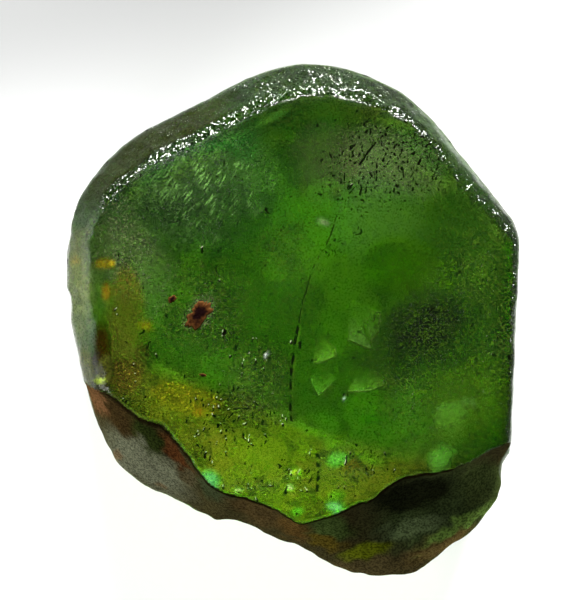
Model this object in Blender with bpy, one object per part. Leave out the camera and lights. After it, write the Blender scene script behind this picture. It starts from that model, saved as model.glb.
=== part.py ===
"""A single peridot crystal, lying on its back with its broad face up.

Olivine grows as a thick tablet: a broad front and back face, an upright band of side
faces round them, and a sloping face along each edge between the two. This crystal was
broken from its rock, so its lower end is one shell-shaped fracture. Its edges are worn.

Lengths are in millimetres until the last step, which makes the mesh in metres.
+X is the crystal's right, +Y points to its upper end and +Z out of its broad face.
"""

import math

import bmesh
import bpy
import numpy as np
from mathutils import Matrix, Vector

METRES = 0.001

# Overall sizes of the tablet
THICKNESS = 13.0
BLANK_SIZE = 60.0

# The upright side faces: the way each one looks, in degrees from +X, its distance from
# the crystal's axis, then the width and slope of the sloping face in front of it and of
# the one behind it.
SIDE_FACES = {
    "right": (-2.3, 13.12, (0.45, 64.0), (1.50, 55.0)),
    "top_right": (39.0, 13.78, (0.70, 62.0), (1.90, 48.0)),
    "top_corner": (56.0, 14.72, (0.95, 55.0), (1.60, 52.0)),
    "top": (73.0, 15.02, (1.35, 48.0), (1.30, 56.0)),
    "apex": (95.0, 14.92, (1.65, 46.0), (1.50, 52.0)),
    "top_left": (116.4, 13.84, (1.75, 49.0), (2.40, 44.0)),
    "upper_left": (138.0, 14.30, (1.45, 50.0), (1.60, 52.0)),
    "left_shoulder": (163.0, 14.12, (1.10, 53.0), (1.40, 50.0)),
    "left": (180.0, 13.22, (1.05, 55.0), (1.20, 55.0)),
    "lower_left": (192.0, 12.66, (1.05, 55.0), (1.70, 48.0)),
}

# The front face falls away a little towards the right side.
RIGHT_RIM_SLOPE = 12.0
RIGHT_RIM_START = 9.3

# Wear on the edges between faces. Each pass of rounding has its depth, its smaller depth
# on the rims where the sloping faces meet the upright ones, and the least turn between
# two faces, in degrees, that still counts as an edge.
WEAR_PASSES = ((0.20, 0.07, 14.0), (0.05, 0.02, 9.0))
LEVEL_FACE = 0.999
LEVEL_EDGE = 0.1

# The fracture's upper edge on the front face, from left to right, as (x, y).
FRACTURE_EDGE = (
    (-14.5, -2.60), (-12.0, -3.52), (-11.1, -4.16), (-10.0, -5.16), (-8.8, -6.09),
    (-7.6, -6.80), (-6.9, -7.68), (-5.9, -8.50), (-5.2, -9.61), (-4.2, -10.37),
    (-2.8, -10.67), (-1.8, -11.02), (-0.8, -11.43), (0.6, -12.07), (1.4, -11.72),
    (2.4, -11.49), (3.2, -11.08), (3.8, -10.72), (4.5, -10.67), (4.9, -10.31),
    (5.6, -9.67), (6.5, -9.20), (7.4, -9.02), (8.9, -8.90), (10.4, -8.45),
    (11.8, -7.60), (14.5, -6.00),
)

# Its widest line, which is the crystal's lower outline, as (x, y).
FRACTURE_BELLY = (
    (-14.5, 4.00), (-12.9, -0.60), (-12.5, -2.60), (-12.1, -4.63), (-11.7, -5.80),
    (-11.2, -6.97), (-10.6, -8.15), (-9.8, -9.02), (-8.8, -9.73), (-7.1, -10.55),
    (-5.9, -11.19), (-4.6, -11.56), (-4.0, -11.60), (-3.1, -11.98), (-2.0, -12.38),
    (-0.8, -12.95), (0.6, -13.36), (1.3, -13.83), (2.1, -14.36), (3.1, -14.77),
    (4.6, -15.06), (5.5, -15.12), (7.3, -14.94), (8.0, -14.47), (8.7, -13.95),
    (9.2, -13.30), (10.0, -12.89), (10.7, -12.25), (11.5, -10.96), (12.0, -10.20),
    (12.6, -8.67), (12.9, -7.60), (14.5, -2.00),
)

# How the fracture runs through the thickness. The outline's widest line is this high
# above the back face, and the fracture draws in again by the undercut behind it. To the
# left it runs out nearly straight. To the right it is scooped, and the two blend between
# the two x values.
BELLY_HEIGHT_LEFT = 6.0
BELLY_HEIGHT_RIGHT = 6.6
BACK_UNDERCUT = 7.5
UNDERCUT_CURVE = 1.5
STRAIGHT_RUN = 0.9
SCOOP_FROM, SCOOP_TO = -4.5, 2.5

# The solid that cuts the fracture: its half width, how far it goes past the crystal at
# front and back and below it, and the size of its grid
SCAR_HALF_WIDTH = 14.5
SCAR_OVERRUN = 2.0
SCAR_REACH = 40.0
SCAR_COLUMNS, SCAR_ROWS = 64, 26

# Both outlines have small teeth. Each set dies out this far from its own line, and
# between them the fracture follows the outlines with the teeth smoothed away.
TOOTH_SMOOTHING = 1.3
SMOOTHING_STEP = 0.1
EDGE_TOOTH_DEPTH = 1.1
BELLY_TOOTH_DEPTH = 2.2

# Shell ribs on the fracture: the (x, z) they spread from, their spacing and height, and
# how far they go. They and the crest fade out near the front and the back face.
RIB_CENTRES = ((-5.2, 13.5), (13.5, 12.0))
RIB_SPACING = 2.4
RIB_HEIGHT = 0.12
RIB_REACH = 9.0
FRONT_FADE, BACK_FADE = 2.0, 3.0

# The low crest where the left shell of the fracture meets the right one
CREST_X, CREST_LEAN, CREST_WIDTH, CREST_HEIGHT = -4.4, 0.13, 0.8, 0.35

# Chips knocked off the edges, as (centre, radii) of the ball that fits each hollow
CHIPS = {
    "left_chip": ((-15.55, 0.65, 6.5), (2.7, 2.7, 25.0)),
    "back_left_chip": ((-13.6, 11.9, -2.0), (3.6, 5.0, 3.6)),
    "back_right_chip": ((15.2, 0.6, -2.4), (4.2, 6.2, 4.6)),
}
CHIP_SEGMENTS, CHIP_RINGS = 40, 20

# Edges with a sharper turn than this are shaded as edges.
SHARP_TURN = 20.0

# Clear green stone with an etched, frosted surface
PERIDOT_GREEN = (0.07, 0.17, 0.015, 1.0)
PERIDOT_IOR = 1.67
FROSTED_ROUGHNESS = 0.3
SEE_THROUGH = 0.9


def clear_scene():
    for old in list(bpy.data.objects):
        bpy.data.objects.remove(old)


def smooth_step(x, start, end):
    t = np.clip((x - start) / (end - start), 0.0, 1.0)
    return t * t * (3.0 - 2.0 * t)


def cut(body, normal, distance):
    """Cuts away what lies beyond a plane and closes the solid with that new face."""
    normal = normal.normalized()
    made = bmesh.ops.bisect_plane(
        body,
        geom=body.verts[:] + body.edges[:] + body.faces[:],
        plane_co=normal * distance,
        plane_no=normal,
        clear_outer=True,
        dist=1e-5,
    )
    rim = [e for e in made["geom_cut"] if isinstance(e, bmesh.types.BMEdge)]
    if rim:
        bmesh.ops.edgeloop_fill(body, edges=rim)
    bmesh.ops.recalc_face_normals(body, faces=body.faces[:])


def slope_plane(azimuth, slope, reach, height):
    """The plane that slopes down outwards from the line at that reach and height.

    slope is 0 for a level face and 90 for an upright one.
    """
    across = Vector((math.cos(azimuth), math.sin(azimuth), 0.0))
    normal = across * math.sin(slope) + Vector((0, 0, math.cos(slope)))
    distance = normal.dot(across * reach + Vector((0, 0, height)))
    return normal, distance


def grow_tablet():
    """The unbroken crystal: every face is one plane, set by its direction and distance."""
    body = bmesh.new()
    bmesh.ops.create_cube(body, size=BLANK_SIZE)
    half = THICKNESS / 2
    cut(body, Vector((0, 0, 1)), half)
    cut(body, Vector((0, 0, -1)), half)
    for azimuth, reach, front, back in SIDE_FACES.values():
        azimuth = math.radians(azimuth)
        cut(body, Vector((math.cos(azimuth), math.sin(azimuth), 0)), reach)
        for (width, slope), side in ((front, 1), (back, -1)):
            normal, distance = slope_plane(
                azimuth, math.radians(slope), reach - width, half
            )
            normal.z *= side
            cut(body, normal, distance)
    cut(body, *slope_plane(0.0, math.radians(RIGHT_RIM_SLOPE), RIGHT_RIM_START, half))
    return body


def wear_edges(body, depth, rim_depth, least_turn):
    """Takes a thin flat off every edge between two faces, as wear does."""
    planes = []
    for edge in body.edges:
        if edge.calc_face_angle(0.0) < math.radians(least_turn):
            continue
        one, other = (face.normal for face in edge.link_faces)
        start, end = (corner.co for corner in edge.verts)
        is_level = abs((end - start).normalized().z) < LEVEL_EDGE
        is_rim = is_level and max(abs(one.z), abs(other.z)) < LEVEL_FACE
        normal = (one + other).normalized()
        distance = normal.dot((start + end) / 2) - (rim_depth if is_rim else depth)
        planes.append((normal, distance))
    for normal, distance in planes:
        cut(body, normal, distance)


def outline(points, x):
    """An outline's y at each x, as its smooth course and the teeth on top of it."""
    xs, ys = np.array(points).T
    fine = np.arange(xs[0], xs[-1], SMOOTHING_STEP)
    weights = np.exp(-0.5 * ((x[:, None] - fine) / TOOTH_SMOOTHING) ** 2)
    course = weights @ np.interp(fine, xs, ys) / weights.sum(axis=1)
    return course, np.interp(x, xs, ys) - course


def fracture_height(x, z):
    """The y of the fracture surface at each x, at one height z above the back face."""
    edge, edge_teeth = outline(FRACTURE_EDGE, x)
    belly, belly_teeth = outline(FRACTURE_BELLY, x)
    scooped = smooth_step(x, SCOOP_FROM, SCOOP_TO)
    belly_height = BELLY_HEIGHT_LEFT + (BELLY_HEIGHT_RIGHT - BELLY_HEIGHT_LEFT) * scooped
    down = np.clip((THICKNESS - z) / (THICKNESS - belly_height), 0.0, 1.0)
    plain = down ** STRAIGHT_RUN
    scoop = down * down * (3.0 - 2.0 * down)
    outward = plain + (scoop - plain) * scooped
    under = np.maximum((belly_height - z) / belly_height, 0.0)
    y = edge + (belly - edge) * outward + BACK_UNDERCUT * under ** UNDERCUT_CURVE
    y = y + edge_teeth * np.exp(-max(THICKNESS - z, 0.0) / EDGE_TOOTH_DEPTH)
    y = y + belly_teeth * np.exp(-(((z - belly_height) / BELLY_TOOTH_DEPTH) ** 2))
    fade = smooth_step(THICKNESS - z, 0.0, FRONT_FADE) * smooth_step(z, 0.0, BACK_FADE)
    for centre_x, centre_z in RIB_CENTRES:
        spread = np.hypot(x - centre_x, z - centre_z)
        rib = np.cos(2 * math.pi * spread / RIB_SPACING) * np.exp(-spread / RIB_REACH)
        y = y + RIB_HEIGHT * rib * fade
    crest_x = CREST_X + CREST_LEAN * (z - THICKNESS / 2)
    y = y - CREST_HEIGHT * np.exp(-(((x - crest_x) / CREST_WIDTH) ** 2)) * fade
    return y


def fracture_cutter():
    """Everything below the fracture surface, as one closed solid."""
    xs = np.linspace(-SCAR_HALF_WIDTH, SCAR_HALF_WIDTH, SCAR_COLUMNS + 1)
    zs = np.linspace(-SCAR_OVERRUN, THICKNESS + SCAR_OVERRUN, SCAR_ROWS + 1)
    body = bmesh.new()
    grid = []
    for z in zs:
        ys = fracture_height(xs, z)
        grid.append(
            [body.verts.new((x, y, z - THICKNESS / 2)) for x, y in zip(xs, ys)]
        )
    for low, high in zip(grid, grid[1:]):
        for i in range(SCAR_COLUMNS):
            body.faces.new((low[i], low[i + 1], high[i + 1], high[i]))
    swept = bmesh.ops.extrude_face_region(body, geom=body.faces[:])
    moved = [v for v in swept["geom"] if isinstance(v, bmesh.types.BMVert)]
    bmesh.ops.translate(body, vec=(0, -SCAR_REACH, 0), verts=moved)
    bmesh.ops.recalc_face_normals(body, faces=body.faces[:])
    return body


def chip_cutter(centre, radii):
    body = bmesh.new()
    bmesh.ops.create_uvsphere(
        body, u_segments=CHIP_SEGMENTS, v_segments=CHIP_RINGS, radius=1.0
    )
    bmesh.ops.scale(body, vec=radii, verts=body.verts[:])
    place = Vector(centre) - Vector((0, 0, THICKNESS / 2))
    bmesh.ops.translate(body, vec=place, verts=body.verts[:])
    return body


def to_object(name, body):
    mesh = bpy.data.meshes.new(name)
    body.to_mesh(mesh)
    body.free()
    made = bpy.data.objects.new(name, mesh)
    bpy.context.scene.collection.objects.link(made)
    return made


def break_away(crystal, name, body):
    """Cuts a solid from the crystal with a Boolean, then puts the cutter away."""
    cutter = to_object(name, body)
    cutter.hide_render = True
    cutter.display_type = "WIRE"
    step = crystal.modifiers.new(name, "BOOLEAN")
    step.operation = "DIFFERENCE"
    step.solver = "EXACT"
    step.object = cutter
    return cutter


def settle(crystal):
    """Applies the cuts and puts the origin at the middle of the resting face's plane."""
    bpy.context.view_layer.update()
    graph = bpy.context.evaluated_depsgraph_get()
    mesh = bpy.data.meshes.new_from_object(crystal.evaluated_get(graph))
    crystal.modifiers.clear()
    crystal.data = mesh
    points = np.array([v.co for v in mesh.vertices])
    low, high = points.min(axis=0), points.max(axis=0)
    middle = (low + high) / 2
    mesh.transform(Matrix.Translation((-middle[0], -middle[1], -low[2])))
    mesh.transform(Matrix.Scale(METRES, 4))
    mesh.name = crystal.name


def peridot():
    material = bpy.data.materials.new("peridot")
    material.use_nodes = True
    shader = material.node_tree.nodes["Principled BSDF"]
    shader.inputs["Base Color"].default_value = PERIDOT_GREEN
    shader.inputs["Roughness"].default_value = FROSTED_ROUGHNESS
    shader.inputs["Metallic"].default_value = 0.0
    shader.inputs["IOR"].default_value = PERIDOT_IOR
    shader.inputs["Transmission Weight"].default_value = SEE_THROUGH
    return material


def main():
    clear_scene()
    tablet = grow_tablet()
    for wear in WEAR_PASSES:
        wear_edges(tablet, *wear)
    crystal = to_object("peridot_crystal", tablet)
    cutters = [break_away(crystal, "fracture", fracture_cutter())]
    for name, (centre, radii) in CHIPS.items():
        cutters.append(break_away(crystal, name, chip_cutter(centre, radii)))
    settle(crystal)
    for cutter in cutters:
        bpy.data.objects.remove(cutter)
    crystal.data.materials.clear()
    crystal.data.materials.append(peridot())
    crystal.data.shade_smooth()
    crystal.data.set_sharp_from_angle(angle=math.radians(SHARP_TURN))


main()
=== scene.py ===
import math

import bpy
import numpy as np
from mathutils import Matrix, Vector


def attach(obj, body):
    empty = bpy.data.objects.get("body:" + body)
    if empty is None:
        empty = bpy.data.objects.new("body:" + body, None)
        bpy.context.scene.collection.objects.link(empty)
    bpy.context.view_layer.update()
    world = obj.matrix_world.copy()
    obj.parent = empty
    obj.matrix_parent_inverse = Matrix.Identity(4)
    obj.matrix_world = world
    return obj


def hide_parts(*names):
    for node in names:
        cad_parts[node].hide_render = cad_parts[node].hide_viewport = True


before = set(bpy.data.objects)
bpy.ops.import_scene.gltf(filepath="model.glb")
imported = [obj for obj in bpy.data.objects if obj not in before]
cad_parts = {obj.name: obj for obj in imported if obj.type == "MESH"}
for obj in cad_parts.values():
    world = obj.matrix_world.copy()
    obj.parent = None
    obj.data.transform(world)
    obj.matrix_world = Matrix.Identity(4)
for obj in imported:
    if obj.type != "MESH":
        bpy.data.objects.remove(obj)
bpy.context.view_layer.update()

MM = 0.001

# The crystal is one piece of clear green olivine, grown as a thick tablet and broken off
# at its lower end. Its faces are etched and worn, so the flat solid is remade here as a
# fine mesh that carries the waves, ribs, grooves and worn rims of a natural surface.
FINE_GRID = 0.17 * MM
SOFTENING, SOFTENING_ROUNDS = 0.5, 4
LUMP_CELLS, LUMP_SHIFT = 32, 100.0


def eased(values, low, high):
    """0 up to the low value, 1 from the high one, with a soft step between."""
    share = np.clip((values - low) / (high - low), 0, 1)
    return share * share * (3 - 2 * share)


def hump(offset, width):
    """1 where the offset is 0, falling away on both sides over about that width."""
    return np.exp(-((offset / width) ** 2))


def lumps(points, size, seed):
    """Smooth random lumps between -1 and 1, about that many millimetres across."""
    grid = np.random.default_rng(seed).uniform(-1, 1, (LUMP_CELLS,) * 3)
    spot = points / size + LUMP_SHIFT
    low = np.floor(spot).astype(int)
    step = spot - low
    step = step * step * (3 - 2 * step)
    total = 0.0
    for corner in np.ndindex(2, 2, 2):
        share = np.prod(np.where(corner, step, 1 - step), axis=1)
        total = total + share * grid[tuple(((low + corner) % LUMP_CELLS).T)]
    return total


def waves(points, kinds):
    """Lumps of several kinds on top of each other: height, size and seed of each."""
    return sum(height * lumps(points, size, seed) for height, size, seed in kinds)


def fine_copy(node, name):
    """A copy of the plain solid with an even fine mesh."""
    crystal = bpy.data.objects.new(name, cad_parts[node].data.copy())
    bpy.context.scene.collection.objects.link(crystal)
    remesh = crystal.modifiers.new("fine", "REMESH")
    remesh.mode = "VOXEL"
    remesh.voxel_size = FINE_GRID
    soften = crystal.modifiers.new("soften", "SMOOTH")
    soften.factor = SOFTENING
    soften.iterations = SOFTENING_ROUNDS
    bpy.context.view_layer.update()
    graph = bpy.context.evaluated_depsgraph_get()
    mesh = bpy.data.meshes.new_from_object(crystal.evaluated_get(graph))
    crystal.modifiers.clear()
    crystal.data = mesh
    mesh.materials.clear()
    mesh.name = name
    return crystal


def read(items, field):
    """One row of three numbers for each point of a mesh."""
    values = np.empty(len(items) * 3)
    items.foreach_get(field, values)
    return values.reshape(-1, 3)


def keep(mesh, name, values):
    """Stores one number or one colour per point, for the material to read."""
    if values.ndim == 1:
        layer = mesh.attributes.new(name, "FLOAT", "POINT")
        layer.data.foreach_set("value", values.astype(np.float32))
    else:
        layer = mesh.attributes.new(name, "FLOAT_COLOR", "POINT")
        four = np.column_stack([values, np.ones(len(values))])
        layer.data.foreach_set("color", four.astype(np.float32).ravel())


def distance_from(points, line):
    """Distance in the front view from a line of points."""
    line = np.array(line)
    flat = points[:, :2]
    nearest = np.full(len(flat), np.inf)
    for start, end in zip(line[:-1], line[1:]):
        side = end - start
        share = np.clip((flat - start) @ side / (side @ side), 0, 1)
        gap = np.linalg.norm(flat - start - share[:, None] * side, axis=1)
        nearest = np.minimum(nearest, gap)
    return nearest


crystal = fine_copy("peridot_crystal", "crystal")
mesh = crystal.data
points = read(mesh.vertices, "co") / MM
normals = read(mesh.vertices, "normal")
# In millimetres: x to the right, y up the broad face, and z out from the back face. They
# are views of the points, so they follow every move below.
x, y, z = points.T
tilt = normals[:, 2]

# The left half of the edge over the break is set back, most of all at its deepest bay.
EDGE = [
    (-12.2, -3.5), (-10.5, -4.7), (-8.6, -6.1), (-7.3, -6.8), (-5.8, -8.4),
    (-5.2, -9.5), (-4.0, -10.3), (-2.4, -10.8), (0.6, -12.0), (2.4, -11.5),
    (4.5, -10.7), (5.6, -9.7), (7.4, -9.0), (10.4, -8.5), (12.9, -7.0),
]
EDGE_SETBACK, EDGE_REACH = 0.3, 1.0
BAY_SETBACK, BAY_X, BAY_WIDTH = 0.55, -7.2, 1.1
to_edge = distance_from(points, EDGE)
setback = EDGE_SETBACK + BAY_SETBACK * hump(x - BAY_X, BAY_WIDTH)
setback *= eased(x, -12.0, -10.0) * (1 - eased(x, -1.5, 0.5))
y += setback * hump(to_edge, EDGE_REACH) * eased(z, 9.5, 12.5)

# Waves all over, as growth and etching leave them.
FACE_WAVES = [(0.05, 3.1, 1), (0.02, 0.9, 2)]
rise = waves(points, FACE_WAVES)

# Only the break faces the lower end. It has curved ribs around the point where it began,
# and hackles across them.
BREAK_START, DEPTH_SQUASH = (-9.0, 2.0, 9.0), (1.0, 1.0, 0.7)
RIB_SPACING, RIB_HEIGHT, RIB_SWAY = 0.95, 0.02, 0.7
HACKLE_STRETCH, HACKLE_HEIGHT = (1.0, 1.0, 0.35), 0.03
broken = eased(-normals[:, 1], 0.2, 0.42)
from_start = np.linalg.norm((points - BREAK_START) * DEPTH_SQUASH, axis=1)
ribs = np.sin((from_start + RIB_SWAY * lumps(points, 2.6, 3)) * 2 * math.pi / RIB_SPACING)
hackle = lumps(points * HACKLE_STRETCH, 0.45, 4)
rise += broken * (RIB_HEIGHT * ribs + HACKLE_HEIGHT * hackle)

# A low ridge runs across the break at the right, with a hollow above it.
RIDGE = [(4.6, -14.6), (5.9, -13.9), (8.0, -13.1), (10.4, -11.7), (12.3, -9.8)]
RIDGE_HEIGHT, RIDGE_WIDTH = 0.28, 0.5
SCOOP_DEPTH, SCOOP_WIDTH, SCOOP_FROM_RIDGE = 0.3, 0.9, 1.5
to_ridge = distance_from(points, RIDGE)
above_ridge = y > np.interp(x, *np.array(RIDGE).T)
front_right = eased(z, 3.0, 6.0) * eased(x, 3.6, 6.0)
rise += broken * front_right * RIDGE_HEIGHT * hump(to_ridge, RIDGE_WIDTH)
scoop = hump(to_ridge - SCOOP_FROM_RIDGE, SCOOP_WIDTH) * above_ridge
rise -= broken * front_right * SCOOP_DEPTH * scoop

# The side faces have fine upright growth lines, and shallow pits.
GROWTH_LINE_STRETCH, GROWTH_LINE_HEIGHT = (1.0, 1.0, 0.12), 0.035
SIDE_PIT_DEPTH = 0.05
side_face = (1 - eased(np.abs(tilt), 0.25, 0.5)) * (1 - broken)
growth_lines = lumps(points * GROWTH_LINE_STRETCH, 0.5, 31)
side_pits = eased(lumps(points, 0.7, 32), 0.45, 0.75)
rise += side_face * (GROWTH_LINE_HEIGHT * growth_lines - SIDE_PIT_DEPTH * side_pits)

# The rims between the broad face and the side faces slope, and are the most worn.
RIM_WEAR = [(0.05, 0.5, 5), (0.03, 0.33, 6)]
rim = eased(tilt, 0.25, 0.6) * (1 - eased(tilt, 0.93, 0.975)) * (1 - broken)
rim *= eased(z, 6.0, 8.0)
at_lip = hump(to_edge, 0.5) * eased(z, 11.5, 12.4)
rim *= 1 - at_lip
rise += rim * waves(points, RIM_WEAR)

# An old crack runs down the broad face, with a gap low down, and a scratch crosses the
# face's top. Each is kept as how far a point is to one side of it. Past its ends that is
# a fixed distance, far from the groove.
CRACK = [
    (2.6, 6.2), (2.2, 5.0), (1.1, 3.0), (0.6, 1.2), (0.15, -1.1),
    (-0.15, -3.5), (-0.1, -5.8), (1.45, -7.8), (1.4, -10.0),
]
CRACK_GAP = (-7.6, -5.9)
SCRATCH_FROM, SCRATCH_TO = (4.9, 10.5), (3.8, 9.0)
WOBBLE = [(0.1, 0.9, 7), (0.05, 0.4, 8)]
GROOVE_DEPTH, GROOVE_WIDTH, FAR_FROM_GROOVE = 0.06, 0.14, 2.0
broad = eased(tilt, 0.9, 0.97)
wobble = waves(points, WOBBLE)


def groove_gap(gap, inside):
    """The distance from a groove, limited, and a fixed one past the groove's ends."""
    limited = np.clip(gap, -FAR_FROM_GROOVE, FAR_FROM_GROOVE)
    return np.where(inside, limited, FAR_FROM_GROOVE)


crack_x, crack_y = np.array(CRACK).T
crack_gap = x + wobble - np.interp(-y, -crack_y, crack_x)
# The crack is a little wider below its gap, and only a hairline in its upper half.
crack_gap *= np.where(y < CRACK_GAP[0], 0.75, 1.0)
crack_gap *= 1 + 0.9 * eased(y, -0.6, 0.6)
on_crack = (y < crack_y[0]) & (y > crack_y[-1]) & ((y < CRACK_GAP[0]) | (y > CRACK_GAP[1]))
crack_gap = groove_gap(crack_gap, on_crack)
side = np.subtract(SCRATCH_TO, SCRATCH_FROM)
length = np.linalg.norm(side)
off = points[:, :2] - SCRATCH_FROM
along = off @ side / length
scratch_gap = (off[:, 0] * side[1] - off[:, 1] * side[0]) / length + wobble
scratch_gap = groove_gap(scratch_gap, (along > 0) & (along < length))
for gap in (crack_gap, scratch_gap):
    rise -= broad * GROOVE_DEPTH * hump(gap, GROOVE_WIDTH)

points += normals * rise[:, None]
mesh.vertices.foreach_set("co", (points * MM).ravel())
mesh.update()
mesh.shade_smooth()


def oval(points, middle, radii, turn=0.0):
    """1 in the middle of an oval of the front view, fading to 0 at its edge."""
    off = points[:, :2] - middle
    turn = math.radians(turn)
    along = off[:, 0] * math.cos(turn) + off[:, 1] * math.sin(turn)
    across = off[:, 1] * math.cos(turn) - off[:, 0] * math.sin(turn)
    return 1 - eased(np.hypot(along / radii[0], across / radii[1]), 0.0, 1.0)


def patch(points, middle, radii, turn, firmness):
    """The same oval, full over more of its middle the firmer it is."""
    return np.minimum(firmness * oval(points, middle, radii, turn), 1)


# The outlines of the patches wander, by up to LOOSE millimetres.
LOOSE, DRIFT_SIZE, DRIFT_SEEDS = 0.8, 2.2, (11, 12, 13)
drift = np.column_stack([lumps(points, DRIFT_SIZE, seed) for seed in DRIFT_SEEDS])
loose = points + LOOSE * drift

# How etched the broad face is: middle of each patch, half widths, turn and amount.
ETCHED = [
    ((-5.2, 8.0), (4.8, 3.6), 20, 0.9),
    ((-9.6, 4.2), (3.0, 4.4), 0, 0.5),
    ((5.4, 9.1), (4.8, 4.0), 0, 0.4),
    ((10.6, 0.0), (4.2, 8.0), 0, 0.45),
    ((0.2, 4.0), (2.4, 3.6), 0, 0.3),
    ((8.2, -1.4), (4.6, 4.4), 0, 0.5),
    ((-5.5, 0.5), (4.5, 4.4), 0, 0.35),
    ((8.5, -3.6), (4.5, 4.6), 0, 0.35),
    ((-2.6, -3.6), (2.6, 3.6), 20, 0.5),
    ((-1.8, -9.4), (4.4, 1.3), 0, 0.3),
    ((3.2, -8.4), (2.6, 2.2), 0, 0.3),
]
# Where the etching drew fine hairs, and where it left crowds of small pits.
HAIRY = ((-4.6, 7.7), (5.6, 4.4), 20)
PITTED = [
    ((5.2, 9.0), (5.2, 4.4), -15, 0.6),
    ((3.0, 5.6), (1.6, 3.0), 0, 0.3),
    ((-3.6, -5.8), (3.8, 3.4), 20, 0.45),
    ((-3.0, -2.0), (2.4, 1.6), 20, 0.25),
    ((-1.5, -9.0), (4.5, 1.6), 0, 0.3),
    ((4.5, -8.5), (3.0, 2.0), 0, 0.25),
]
SMOOTH_PATCH = ((6.0, 4.3), (3.0, 3.4), -30)
LEAST_ETCHED, LEAST_PITTED = 0.08, 0.03
etched = np.full(len(points), LEAST_ETCHED)
for middle, radii, turn, amount in ETCHED:
    etched = np.maximum(etched, amount * oval(loose, middle, radii, turn) ** 0.5)
smooth = patch(loose, *SMOOTH_PATCH, 1.6)
etched *= 1 - 0.9 * smooth
hairy = patch(loose, *HAIRY, 1.6)
pitted = np.full(len(points), LEAST_PITTED)
for middle, radii, turn, amount in PITTED:
    pitted = np.maximum(pitted, amount * patch(loose, middle, radii, turn, 1.8))
pitted *= (1 - smooth) * broad

# The rims are lightly etched, more so at the left, where they are frosted. The side
# faces are etched all over and have a few pits.
RIM_ETCH, FROST_ETCH, SIDE_ETCH, SIDE_ETCH_CHANGE, SIDE_PITS = 0.15, 0.3, 0.55, 0.25, 0.08
etched = np.maximum(etched, RIM_ETCH * rim)
frosted = eased(-x, 10.6, 11.6) * eased(-y, -8.6, -5.4) * rim
etched = np.maximum(etched, FROST_ETCH * frosted)
rim = rim - 0.8 * frosted
sides = (1 - eased(tilt, 0.25, 0.5)) * eased(tilt, -0.95, -0.85) * (1 - broken)
side_etch = SIDE_ETCH + SIDE_ETCH_CHANGE * lumps(points, 1.6, 33)
etched = np.maximum(etched, side_etch * sides)
pitted = np.maximum(pitted, SIDE_PITS * side_face)

# Some pits get a painted glint at their edge, most of them at the left and low down.
glinting_pits = 0.45 * pitted * (1 - 0.85 * eased(y, 1.5, 4.0))
glinting_pits *= 1 - 0.95 * eased(x, -1.0, 0.3) * eased(y, -7.5, -6.5)

# Fresh little facets sit in clusters on the worn rims, and all along their inner edge.
# They are closest together at the top, and none are at the foot of the left rim.
CLUSTERS = [(1.0, 1.3, 21), (0.6, 0.5, 22)]
APEX_X, APEX_WIDTH = -0.6, 3.6
FOOT_OF_LEFT_RIM = ((-11.1, -3.2), (1.4, 2.0))
clusters = eased(waves(points, CLUSTERS), -0.25, 0.35)
apex = hump(x - APEX_X, APEX_WIDTH) * eased(y, 9.0, 12.0)
outer = (0.25 + 0.75 * apex) * (0.25 + 0.75 * clusters)
inner = eased(tilt, 0.72, 0.84) * np.maximum(0.55 + 0.45 * clusters, apex)
fresh = rim * (1 - oval(points, *FOOT_OF_LEFT_RIM)) * np.maximum(outer, inner)


def dimmed(colours, share, colour):
    """Each point's colour multiplied by one colour, as far as its share says."""
    return colours * (1 - share[:, None] * (1 - np.array(colour)))


def toward(colours, share, colour):
    """Each point's colour, moved by its share towards another."""
    return colours + share[:, None] * (np.array(colour) - colours)


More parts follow.
